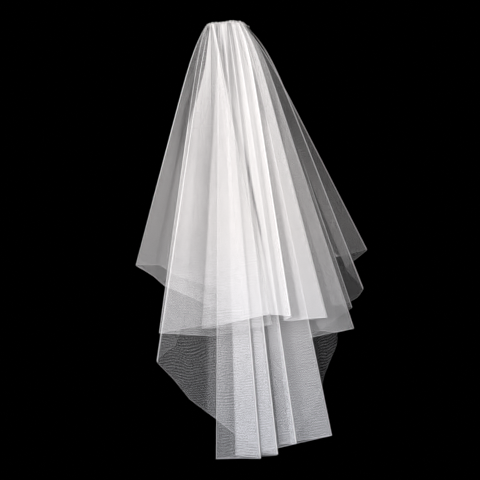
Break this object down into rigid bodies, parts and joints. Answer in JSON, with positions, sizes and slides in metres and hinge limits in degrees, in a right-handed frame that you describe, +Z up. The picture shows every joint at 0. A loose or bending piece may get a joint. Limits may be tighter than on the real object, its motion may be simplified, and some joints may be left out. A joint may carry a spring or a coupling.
{
  "type": "bridal veil",
  "caption": "Two-tier bridal veil of plain cut-edge tulle, gathered at the top onto a small curved comb and hanging in soft folds.",
  "frame": {"origin": "middle of the comb that holds the veil, in its spine", "axes": "+Z up, +X along the comb's chord, +Y the way the wearer faces"},
  "size_m": [0.4011, 0.3184, 0.7552],
  "materials": {
    "comb": "clear",
    "heading": "gathered net",
    "lower_tier": "sheer net",
    "upper_tier": "sheer net"
  },
  "bodies": {
    "root": {"comb": "comb", "heading": "heading", "lower_tier": "lower_tier", "upper_tier": "upper_tier"}
  },
  "joints": []
}
